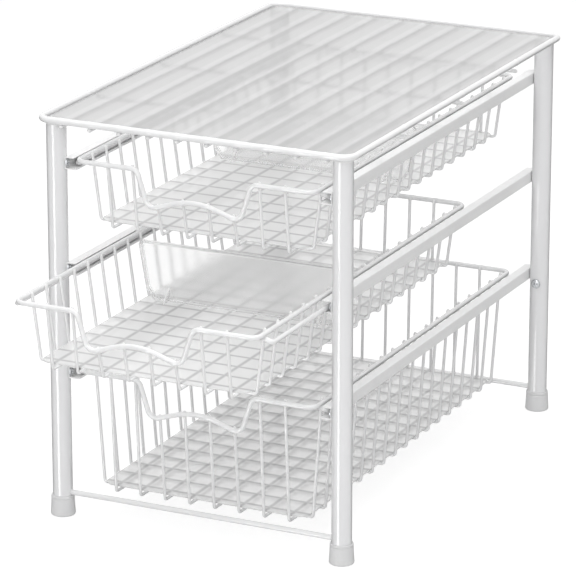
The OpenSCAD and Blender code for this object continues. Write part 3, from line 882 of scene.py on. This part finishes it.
@dataclass(frozen=True)
class Foot:
    """Tapered foot: a rounded floor edge, a groove, a collar with a round lip, and a bore."""

    low_r: float = 10.6
    edge: float = 1.6
    flat_r: float = 8.4
    taper: float = 0.7
    waist: float = 0.06
    wall_h: float = 12.9
    groove_z: float = 15.2
    groove: tuple[tuple[float, float], ...] = (
        (0, -0.45), (0.24, -0.25), (0.34, 0), (0.24, 0.25), (0, 0.45)
    )
    collar_r: float = 9.86
    collar: tuple[tuple[float, float], ...] = ((0.04, -1.9), (0, -1.0))
    lip: float = 0.6
    top: float = 17.8
    bore_r: float = 8.65
    bore_top: tuple[tuple[float, float], ...] = ((0.3, 0), (0.05, -0.08), (0, -0.3))
    bore_low: tuple[tuple[float, float], ...] = ((0, 0.2), (-0.15, 0), (-8.65, 0))
    floor: float = 4.0
    around: int = 72

    def form(self) -> Form:
        """The turned foot, standing on z = 0.

        The edge and the lip are quarter circles. The wall is r = R - t s - w sin(pi s) at
        the share s of its height, with the taper t and the waist w.

        Returns:
            The closed surface.
        """
        quarter = math.pi / 2
        inner = self.low_r - self.edge
        line = [(0, 0), (self.flat_r, 0)]
        line += [(inner + self.edge * math.sin(a), self.edge - self.edge * math.cos(a))
                 for a in np.linspace(0, quarter, 9)]
        line += [(self.low_r - self.taper * s - self.waist * math.sin(math.pi * s),
                  self.edge + self.wall_h * s) for s in np.linspace(0.1, 0.97, 8)]
        line += [(self.collar_r - depth, self.groove_z + z) for depth, z in self.groove]
        line += [(self.collar_r + out, self.top + z) for out, z in self.collar]
        line += [(self.collar_r - self.lip + self.lip * math.cos(a),
                  self.top - self.lip + self.lip * math.sin(a))
                 for a in np.linspace(0, quarter, 6)]
        line += [(self.bore_r + out, self.top + z) for out, z in self.bore_top]
        line += [(self.bore_r + out, self.floor + z) for out, z in self.bore_low]
        return lathe(line, self.around)


@dataclass(frozen=True)
class Stand:
    """Posts, caps, feet, tie rods, rails and their screws."""

    post_x: float = 130.0
    post_y: float = 210.5
    post_r: float = 8.5
    rail_back_x: float = 121.4
    rail_open_x: float = 112.8
    rail_lip_x: float = 110.6
    rail_front: float = -213.0
    rail_rear: float = 217.5
    rail_h: float = 10.4
    rail_wall: float = 0.8
    rail_lip: float = 1.0
    rail_bends: tuple[float, ...] = (0.3, 0.8, 0.8, 0.6) + (0.3,) * 6
    rail_z: float = 133.8
    tier_pitch: float = 90.8
    post_screw_z: float = 121.8
    rail_screw: Screw = Screw(3.6, 7.0, 1.8)
    post_screw: Screw = Screw(4.0, 8.6, 2.6)

    def build_feet(self, shop: Workshop) -> None:
        """Feet: one under each post."""
        for end, side, label in POSTS:
            place = (side.value * self.post_x, end.value * self.post_y + FRAME_Y, 0)
            shop.piece(f"moulded_foot_{label}", Foot().form().moved(place), Finish.FOOT,
                       "frame", [f"foot_{label}"], sharp=50.0)

    def rail_section(self) -> Array:
        """Outline of a right-hand rail as x and z below its top: folded sheet, round folds."""
        a, b, h = self.rail_open_x, self.rail_back_x, self.rail_h
        low, w, lip = self.rail_lip_x, self.rail_wall, self.rail_lip
        corners = [
            (a, 0), (b, 0), (b, -h), (low, -h), (low, -h + w + lip),
            (low + w, -h + w + lip), (low + w, -h + w), (b - w, -h + w), (b - w, -w), (a, -w),
        ]
        line = bent_path(
            [(x, z, 0) for x, z in corners], self.rail_bends, loop=True, step=15.0, guard=0.12
        )
        return line[:, :2]

    def build_rails(self, shop: Workshop) -> None:
        """Rails: the folded section drawn from the front end to the rear."""
        section = self.rail_section()
        for tier in Tier:
            for side in Side:
                outline = section * [side.value, 1] + [0, self.rail_top(tier)]
                if side is Side.LEFT:
                    outline = outline[::-1]
                form = drawn_out(outline, self.rail_front + FRAME_Y, self.rail_rear + FRAME_Y)
                label = f"{tier.label}_{side.label}"
                shop.piece(f"folded_rail_{label}", form, Finish.RAIL, "frame",
                           [f"rail_{label}"], sharp=30.0)

    def rail_top(self, tier: Tier) -> float:
        """Height of a tier's rail tops."""
        return self.rail_z + tier.value * self.tier_pitch

    def build_screws(self, shop: Workshop) -> None:
        """Screws: twelve through the rails' backs and one in each post."""
        rail_screw, post_screw = self.rail_screw.form(), self.post_screw.form()
        rails, posts = [], []
        for side in Side:
            for end in End:
                y = end.value * self.post_y + FRAME_Y
                for tier in Tier:
                    z = self.rail_top(tier) - self.rail_h / 2
                    place = (side.value * (self.rail_back_x - self.rail_wall), y, z)
                    rails.append(rail_screw.turned(place, ACROSS * -side.value))
                front = y - end.value * self.post_r
                place = (side.value * self.post_x, front, self.post_screw_z)
                posts.append(post_screw.turned(place, ALONG * -end.value))
        shop.piece("zinc_rail_screws", joined(rails), Finish.SCREW, "frame", ["rail_screws"])
        shop.piece("zinc_post_screws", joined(posts), Finish.SCREW, "frame", ["post_screws"])

    def dress(self, shop: Workshop) -> None:
        """Finishes of the CAD nodes that stay: tubes, caps and tie rods."""
        for _, _, label in POSTS:
            shop.dress(f"post_{label}", Finish.POST)
            shop.dress(f"post_cap_{label}", Finish.CAP)
        for end in End:
            shop.dress(f"{end.label}_tie_rod", Finish.WIRE)

    def build(self, shop: Workshop) -> None:
        """Builds and dresses the whole stand."""
        self.build_feet(shop)
        self.build_rails(shop)
        self.build_screws(shop)
        self.dress(shop)


@dataclass(frozen=True)
class Rack:
    """Top rack: rim, two layers of wires and the mat that lies on them."""

    half_x: float = 141.4
    half_y: float = 221.9
    z: float = 347.9
    rim_r: float = 2.8
    corner: float = 11.4
    long_r: float = 1.8
    long_x: float = 119.6
    long_n: int = 10
    long_z: float = 343.4
    cross_r: float = 1.7
    cross_z: float = 340.0
    cross_y: tuple[float, ...] = (-118.0, 0.0, 118.0)
    wire_end: float = 1.4
    mat_size: tuple[float, float] = (138.1, 218.6)
    mat_corner: float = 8.1
    mat_t: float = 2.2
    mat_z: float = 345.2
    mat_dip: float = 0.06
    rim_sides: int = 24
    wire_sides: int = 16
    coat: Coat = Coat(0.25, 2.0)

    def long_positions(self) -> Array:
        """Places of the front-to-back wires across the rack."""
        return np.linspace(-self.long_x, self.long_x, self.long_n)

    def build_rim(self, shop: Workshop) -> None:
        """Rim: one loop of thick wire with collars where the rack wires are welded on."""
        x, y, z = self.half_x, self.half_y, self.z
        line = bent_path([(-x, -y, z), (x, -y, z), (x, y, z), (-x, y, z)], [self.corner] * 4, loop=True)
        welds = [(px, s * y, z) for px in self.long_positions() for s in (-1, 1)]
        welds += [(s * x, py, z) for py in self.cross_y for s in (-1, 1)]
        form = self.coat.wire(line, self.rim_r, welds, UP, self.rim_sides, True).moved((0, FRAME_Y, 0))
        shop.piece("coated_rack_rim", form, Finish.WIRE, "frame", ["top_rack_rim"])

    def build_wires(self, shop: Workshop) -> None:
        """Wires: ten from front to back, and three across below them."""
        reach_y, reach_x = self.half_y + self.wire_end, self.half_x + self.wire_end
        rows = (-self.half_y, *self.cross_y, self.half_y)
        longs, crosses = [], []
        for x in self.long_positions():
            line = np.array([(x, -reach_y, self.long_z), (x, reach_y, self.long_z)])
            welds = [(x, y, self.long_z) for y in rows]
            longs.append(self.coat.wire(line, self.long_r, welds, UP, self.wire_sides))
        for y in self.cross_y:
            line = np.array([(-reach_x, y, self.cross_z), (reach_x, y, self.cross_z)])
            welds = [(x, y, self.cross_z) for x in self.long_positions()]
            crosses.append(self.coat.wire(line, self.cross_r, welds, UP, self.wire_sides))
        for label, forms in (("long", longs), ("cross", crosses)):
            form = joined(forms).moved((0, FRAME_Y, 0))
            shop.piece(f"coated_rack_{label}_wires", form, Finish.WIRE, "frame",
                       [f"top_rack_{label}_wires"])

    def build_mat(self, shop: Workshop) -> None:
        """Mat: a frosted sheet that dips a hair between the wires."""
        waves = (self.mat_dip, 2 * self.long_x / (self.long_n - 1), 2 * self.cross_y[-1])
        form = sheet(self.mat_size, self.mat_corner, self.mat_t, waves)
        form = form.moved((0, FRAME_Y, self.mat_z + self.mat_t / 2))
        shop.piece("frosted_mat", form, Finish.MAT, "frame", ["top_mat"])

    def build(self, shop: Workshop) -> None:
        """Builds the whole rack."""
        self.build_rim(shop)
        self.build_wires(shop)
        self.build_mat(shop)


@dataclass(frozen=True)
class Handle:
    """The wave in a basket's front rim that serves as its handle."""

    half_w: float = 52.2
    valley_x: float = 41.7
    valley_z: float = -32.8
    crest_z: float = -19.2
    top_r: float = 7.4
    valley_r: float = 8.0
    crest_r: float = 62.0

    def corners(self) -> list[tuple[float, float, float]]:
        """Sharp corner points as x, height and bend radius, from left to right."""
        return [
            (-self.half_w, 0.0, self.top_r),
            (-self.valley_x, self.valley_z, self.valley_r),
            (0.0, self.crest_z, self.crest_r),
            (self.valley_x, self.valley_z, self.valley_r),
            (self.half_w, 0.0, self.top_r),
        ]


@dataclass(frozen=True)
class Basket:
    """One wire basket with its runners, liner and, in the shallow ones, its divider."""

    tier: Tier
    rim_z: float
    shift: float
    depth: float
    divider_y: float | None
    handle: Handle = Handle()
    rim_x: float = 108.1
    rim_front: float = -217.7
    rim_rear: float = 192.8
    rim_r: float = 2.1
    corner: float = 8.0
    runner_x: float = 115.2
    runner_drop: float = 6.3
    runner_inset: float = 14.0
    runner_ends: tuple[float, float, float] = (-2.4, 1.5, -1.2)
    runner_bends: tuple[float, ...] = (0, 3.0, 3.5, 5.0, 0)
    wire_r: float = 1.3
    weld: float = 0.1
    side_taper: float = 7.6
    front_taper: float = 7.4
    rear_taper: float = 3.0
    wire_bend: float = 2.8
    tip: float = 2.4
    long_pitch: float = 23.0
    long_n: int = 8
    cross_pitch: float = 23.45
    cross_n: int = 17
    cross_rear: float = 13.5
    liner_x: float = 95.0
    liner_t: float = 1.0
    liner_gap: float = 0.7
    liner_dip: float = 0.03
    liner_corner: float = 11.0
    rim_sides: int = 20
    wire_sides: int = 12
    coat: Coat = Coat()

    @property
    def body(self) -> str:
        """The CAD body that the basket rides on."""
        return f"{self.tier.label}_basket"

    @property
    def seat(self) -> float:
        """Distance between the axes of a rim and a wire welded to it."""
        return self.rim_r + self.wire_r - self.weld

    @property
    def long_floor(self) -> float:
        """Height of the front-to-back wires' floor run below the rim."""
        return -(self.depth - self.wire_r)

    @property
    def cross_floor(self) -> float:
        """Height of the side-to-side wires' floor run below the rim."""
        return self.long_floor + 2 * self.wire_r - self.weld

    @property
    def liner_z(self) -> float:
        """Height of the liner's underside below the rim."""
        return self.cross_floor + self.wire_r

    def finish(
        self, shop: Workshop, manner: str, part: str, form: Form, finish: Finish, **more: Any
    ) -> None:
        """Makes a piece of a form that is drawn round the middle and height of the rim.

        Args:
            shop: Makes the piece.
            manner: First word of its name.
            part: The rest of its name, after the basket's.
            form: Its surface.
            finish: What it is made of.
            more: What else the shop is told.
        """
        form = form.moved((0, self.shift + FRAME_Y, self.rim_z))
        node = f"{self.body}_{part}"
        shop.piece(f"{manner}_{node}", form, finish, self.body, [node], **more)

    def rim_line(self) -> Array:
        """Centre line of the rim: a flat loop with the handle's wave in its front."""
        x, front, rear = self.rim_x, self.rim_front, self.rim_rear
        wave = self.handle.corners()
        corners = [(-x, front, 0.0)] + [(px, front, pz) for px, pz, _ in wave]
        corners += [(x, front, 0.0), (x, rear, 0.0), (-x, rear, 0.0)]
        radii = [self.corner] + [r for _, _, r in wave] + [self.corner] * 3
        return bent_path(corners, radii, loop=True, step=7.0)

    def long_positions(self) -> Array:
        """Places of the front-to-back wires across the basket."""
        return (np.arange(self.long_n) - (self.long_n - 1) / 2) * self.long_pitch

    def cross_positions(self) -> Array:
        """Places of the side-to-side wires along the basket."""
        return self.rim_rear - self.cross_rear - np.arange(self.cross_n) * self.cross_pitch

    def front_height(self, x: Array) -> Array:
        """Height of the front rim's axis at a distance x from the middle."""
        line = self.rim_line()
        front = line[np.abs(line[:, 1] - self.rim_front) < 1e-6]
        order = np.argsort(front[:, 0])
        return np.interp(x, front[order, 0], front[order, 2])

    def build_rim(self, shop: Workshop) -> None:
        """Rim: coated loop with a collar at each wire's tip."""
        xs, ys = self.long_positions(), self.cross_positions()
        welds = [(x, self.rim_front, z) for x, z in zip(xs, self.front_height(xs))]
        welds += [(x, self.rim_rear, 0.0) for x in xs]
        welds += [(s * self.rim_x, y, 0.0) for y in ys for s in (-1, 1)]
        form = self.coat.wire(self.rim_line(), self.rim_r, welds, UP, self.rim_sides, True)
        self.finish(shop, "coated", "rim", form, Finish.WIRE)

    def build_runners(self, shop: Workshop) -> None:
        """Runners: a wire in each rail, turned in at both ends under the rim's corners."""
        leg = self.corner * (1 - 1 / math.sqrt(2))
        end_z = -2 * self.rim_r + self.weld
        front, rear = self.rim_front + self.runner_inset, self.rim_rear - leg
        tip, knee, rear_tip = self.runner_ends
        corners = [
            (self.rim_x + tip, front, end_z), (self.rim_x + knee, front, end_z),
            (self.runner_x, front, -self.runner_drop), (self.runner_x, rear, -self.runner_drop),
            (self.rim_x - leg + rear_tip, rear, end_z),
        ]
        for side in Side:
            line = bent_path(np.array(corners) * [side.value, 1, 1], self.runner_bends)
            form = tube(line, self.rim_r, UP, self.rim_sides)
            self.finish(shop, "coated", f"runner_{side.label}", form, Finish.WIRE)

    def bent_wire(self, corners: Points, welds: Points, square_to: Array) -> Form:
        """A coated wire bent at the basket's two lower edges."""
        line = bent_path(corners, [0, self.wire_bend, self.wire_bend, 0])
        return self.coat.wire(line, self.wire_r, welds, square_to, self.wire_sides)

    def build_long_wires(self, shop: Workshop) -> None:
        """Front-to-back wires: down inside the front rim, along the floor, up at the rear."""
        front, rear = self.rim_front + self.seat, self.rim_rear - self.seat
        floor = self.long_floor
        xs, ys = self.long_positions(), self.cross_positions()
        forms = []
        for x, z in zip(xs, self.front_height(xs)):
            lean = self.front_taper / (z - floor)
            corners = [
                (x, front - self.tip * lean, z + self.tip), (x, front + self.front_taper, floor),
                (x, rear - self.rear_taper, floor), (x, rear, self.tip),
            ]
            welds = [(x, y, floor) for y in ys] + [(x, front, z), (x, rear, 0)]
            forms.append(self.bent_wire(corners, welds, ACROSS))
        self.finish(shop, "coated", "long_wires", joined(forms), Finish.WIRE)

    def build_cross_wires(self, shop: Workshop) -> None:
        """Side-to-side wires: down inside one side rim, across the floor, up at the other."""
        top, floor = self.rim_x - self.seat, self.cross_floor
        low = top - self.side_taper
        forms = []
        for y in self.cross_positions():
            corners = [(-top, y, self.tip), (-low, y, floor), (low, y, floor), (top, y, self.tip)]
            welds = [(x, y, floor) for x in self.long_positions()] + [(-top, y, 0), (top, y, 0)]
            forms.append(self.bent_wire(corners, welds, ALONG))
        self.finish(shop, "coated", "cross_wires", joined(forms), Finish.WIRE)

    def build_liner(self, shop: Workshop) -> None:
        """Liner: a frosted sheet that lies on the side-to-side wires."""
        inset = self.seat + self.wire_r + self.liner_gap
        front = self.rim_front + self.front_taper + inset
        rear = self.rim_rear - self.rear_taper - inset
        waves = (self.liner_dip, 2 * self.long_pitch, 2 * self.cross_pitch)
        form = sheet((self.liner_x, (rear - front) / 2), self.liner_corner, self.liner_t, waves)
        form = form.moved((0, (front + rear) / 2, self.liner_z + self.liner_t / 2))
        wires = [self.long_positions()[0], self.cross_positions()[0]]
        grid = (form.points[:, :2] - wires) / [self.long_pitch, self.cross_pitch] + 0.5
        self.finish(shop, "frosted", "liner", form, Finish.LINER, grid=grid)

    def build_divider(self, shop: Workshop) -> None:
        """Divider: the clear panel that stands between two side-to-side wires."""
        if self.divider_y is None:
            return
        form = Divider(self.liner_z + self.liner_t).form().moved((0, self.divider_y, 0))
        self.finish(shop, "clear", "divider", form, Finish.DIVIDER, sharp=30.0)

    def build(self, shop: Workshop) -> None:
        """Builds the whole basket."""
        self.build_rim(shop)
        self.build_runners(shop)
        self.build_long_wires(shop)
        self.build_cross_wires(shop)
        self.build_liner(shop)
        self.build_divider(shop)


@dataclass(frozen=True)
class Divider:
    """Clear moulded divider: a panel with a flange all round and two gussets in front."""

    low: float
    high: float = -0.8
    top_x: float = 99.4
    low_x: float = 92.2
    foot_x: float = 85.2
    chamfer: float = 10.0
    wall: float = 1.6
    flange: float = 6.0
    edge: float = 0.35
    gusset: float = 12.0
    gusset_x: float = 71.2
    gusset_gap: float = 0.01
    corner: float = 3.0
    inner_corner: float = 0.5

    def outline(self, inset: float) -> Array:
        """The panel's outline drawn in by a distance, as x and z, with rounded corners.

        Each edge moves inwards by the distance along its normal n; a corner is the point x
        with n x = n p - inset for the two edges that meet there.

        Args:
            inset: The distance.

        Returns:
            The outline's points.
        """
        p = np.array([
            (-self.foot_x, self.low), (self.foot_x, self.low),
            (self.low_x, self.low + self.chamfer), (self.top_x, self.high),
            (-self.top_x, self.high), (-self.low_x, self.low + self.chamfer),
        ])
        edge = unit(np.roll(p, -1, 0) - p)
        normal = np.stack([edge[:, 1], -edge[:, 0]], 1)
        level = (normal * p).sum(1) - inset
        pairs = np.stack([np.roll(normal, 1, 0), normal], 1)
        levels = np.stack([np.roll(level, 1), level], 1)
        corners = np.linalg.solve(pairs, levels[..., None])[..., 0]
        radius = max(self.corner - inset, self.inner_corner)
        line = bent_path([(x, z, 0) for x, z in corners], [radius] * 6, loop=True, step=12.0)
        return line[:, :2]

    def form(self) -> Form:
        """Panel and flange as one skin, and the two gussets.

        The skin is a row of rings: the outline set in by d and moved to the depth y, from
        the panel's front face round the flange to its rear face.

        Returns:
            The divider, its panel's middle plane at y = 0.
        """
        w, f, r = self.wall, self.flange / 2, self.edge
        half = w / 2
        steps = [
            (w + r, -half), (w, -half - r), (w, -f + r), (w - r, -f), (r, -f), (0, -f + r),
            (0, f - r), (r, f), (w - r, f), (w, f - r), (w, half + r), (w + r, half),
        ]
        lines = [(self.outline(d), y) for d, y in steps]
        rings = [np.stack([o[:, 0], np.full(len(o), y), o[:, 1]], 1) for o, y in lines]
        forms = [shell(np.stack(rings[::-1]))]
        root, low = -half - self.gusset_gap, self.low + half
        y, z = np.array([root, -self.gusset, root]), np.array([low, low, low + self.gusset - half])
        for side in Side:
            x = side.value * self.gusset_x
            rings = [np.stack([np.full(3, x + s * half), y, z], 1) for s in (-1, 1)]
            forms.append(shell(np.stack(rings)))
        return joined(forms)


# ---- Studio ----


@dataclass(frozen=True)
class Lamp:
    """One soft lamp: its place, what it looks at and its size in metres, and its strength."""

    name: str
    place: tuple[float, float, float]
    target: tuple[float, float, float]
    size: tuple[float, float]
    watts: float
    gloss_only: bool = False


@dataclass(frozen=True)
class Studio:
    """Camera, lamps, world, floor and the black cards that edge the gloss; sizes in metres."""

    azimuth: float = 25.733
    elevation: float = 17.715
    place_mm: tuple[float, float, float] = (1397.3, -2891.1, 1197.9)
    focal_px: float = 3941.1
    picture_px: float = 576.0
    sensor_mm: float = 36.0
    clip: tuple[float, float] = (0.1, 100.0)
    lamps: tuple[Lamp, ...] = (
        Lamp("overhead softbox", (0.0, 0.0, 2.2), (0, 0, 0.2), (2.0, 2.0), 31.0),
        Lamp("front softbox", (0.75, -2.05, 1.6), (0, 0, 0.2), (2.4, 2.2), 25.0),
        Lamp("strip light", (-0.6, -2.43, -0.6), (0, 0, 0.2), (0.9, 1.5), 42.0, True),
    )
    flags: tuple[tuple[float, float], ...] = ((0.82, 1.82), (-1.94, 0.49))
    flag_size: tuple[float, float] = (2.2, 2.4)
    flag_top: float = 0.1
    ambient: float = 0.37
    floor_half: float = 20.0
    floor_lit: str = "#e8e8e8"
    floor_seen: str = "#9a9a9a"
    floor_glow: float = 0.8

    def build_camera(self) -> None:
        """Camera at the product's viewing angle, a long lens and no shift."""
        data = bpy.data.cameras.new("camera")
        data.sensor_width = self.sensor_mm
        data.lens = self.focal_px * self.sensor_mm / self.picture_px
        data.clip_start, data.clip_end = self.clip
        a, e = math.radians(self.azimuth), math.radians(self.elevation)
        back = Vector((math.sin(a) * math.cos(e), -math.cos(a) * math.cos(e), math.sin(e)))
        camera = aimed("camera", data, Vector(self.place_mm) * MM, -back)
        bpy.context.scene.camera = camera

    def build_lamps(self) -> None:
        """Soft lamps that the camera doesn't see."""
        for lamp in self.lamps:
            data = bpy.data.lights.new(lamp.name, "AREA")
            data.shape = "RECTANGLE"
            data.size, data.size_y = lamp.size
            data.energy = lamp.watts
            place = Vector(lamp.place)
            obj = aimed(lamp.name, data, place, Vector(lamp.target) - place)
            obj.visible_camera = False
            obj.visible_diffuse = not lamp.gloss_only

    def build_world(self) -> None:
        """World: plain ambient light, and white where it is seen or mirrored."""
        world = bpy.data.worlds.new("studio")
        bpy.context.scene.world = world
        n = Nodes(world)
        ambient, white = [n.add("Background", {"Color": linear(WHITE), "Strength": strength})
                          for strength in (self.ambient, 1.0)]
        n.show(n.add("MixShader", {0: self.seen(n), 1: ambient, 2: white}))

    @staticmethod
    def seen(n: Nodes) -> Socket:
        """1 for rays from the camera, in a mirror or through glass, 0 after a matt surface."""
        path = n.add("LightPath").node.outputs
        sight = n.math("MAXIMUM", path["Is Camera Ray"], path["Is Glossy Ray"])
        sight = n.math("MAXIMUM", sight, path["Is Transmission Ray"])
        return n.math("MULTIPLY", sight, n.math("LESS_THAN", path["Diffuse Depth"], 0.5))

    @staticmethod
    def card(name: str, points: Points, n: Nodes) -> bpy.types.Object:
        """A flat four-cornered card of a material."""
        mesh = bpy.data.meshes.new(name)
        mesh.from_pydata(points, [], [(0, 1, 2, 3)])
        mesh.materials.append(n.owner)
        return placed(name, mesh)

    def build_floor(self) -> None:
        """Floor: a plain white sweep that is white to the eye and still takes a shadow."""
        n = Nodes(bpy.data.materials.new("matt white studio floor"))
        lit, seen = [n.add("BsdfDiffuse", {"Color": linear(code)})
                     for code in (self.floor_lit, self.floor_seen)]
        glow = n.add("Emission", {"Color": linear(WHITE), "Strength": self.floor_glow})
        white = n.add("AddShader", {0: seen, 1: glow})
        n.show(n.add("MixShader", {0: self.seen(n), 1: lit, 2: white}))
        h = self.floor_half
        floor = self.card("floor", [(-h, -h, 0), (h, -h, 0), (h, h, 0), (-h, h, 0)], n)
        floor.visible_glossy = False

    def build_flags(self) -> None:
        """Black cards low down behind on both sides, for gloss alone: they edge the tubes."""
        n = Nodes(bpy.data.materials.new("black card"))
        n.show(n.add("BsdfDiffuse", {"Color": linear("#000000")}))
        width, height = self.flag_size
        top, low = self.flag_top, self.flag_top - height
        for k, (x, y) in enumerate(self.flags):
            half = unit(np.array([-y, x])) * width / 2
            a, b = np.array([x, y]) - half, np.array([x, y]) + half
            flag = self.card(f"flag_{k}", [(*a, low), (*b, low), (*b, top), (*a, top)], n)
            flag.visible_camera = flag.visible_diffuse = False
            flag.visible_transmission = flag.visible_shadow = False

    def build(self) -> None:
        """Builds the studio."""
        bpy.context.scene.view_settings.view_transform = "Standard"
        self.build_camera()
        self.build_lamps()
        self.build_world()
        self.build_floor()
        self.build_flags()


def corners(bounds: tuple[Vector, Vector]) -> list[list[float]]:
    """A box's two corners as plain lists."""
    return [list(bounds[0]), list(bounds[1])]


def main() -> None:
    """Builds every sub-assembly in order.
    """
    logging.basicConfig(level=logging.INFO, format="%(message)s")
    shop = Workshop()
    Stand().build(shop)
    Rack().build(shop)
    baskets = (
        Basket(Tier.BOTTOM, 133.0, 0.0, 107.6, None),
        Basket(Tier.MIDDLE, 223.8, -105.0, 57.6, -20.0),
        Basket(Tier.TOP, 314.6, 0.0, 57.6, 3.4),
    )
    for basket in baskets:
        basket.build(shop)
    Studio().build()
    log.info("%d pieces made", shop.made)


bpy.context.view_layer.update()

if __name__ == "__main__":
    main()
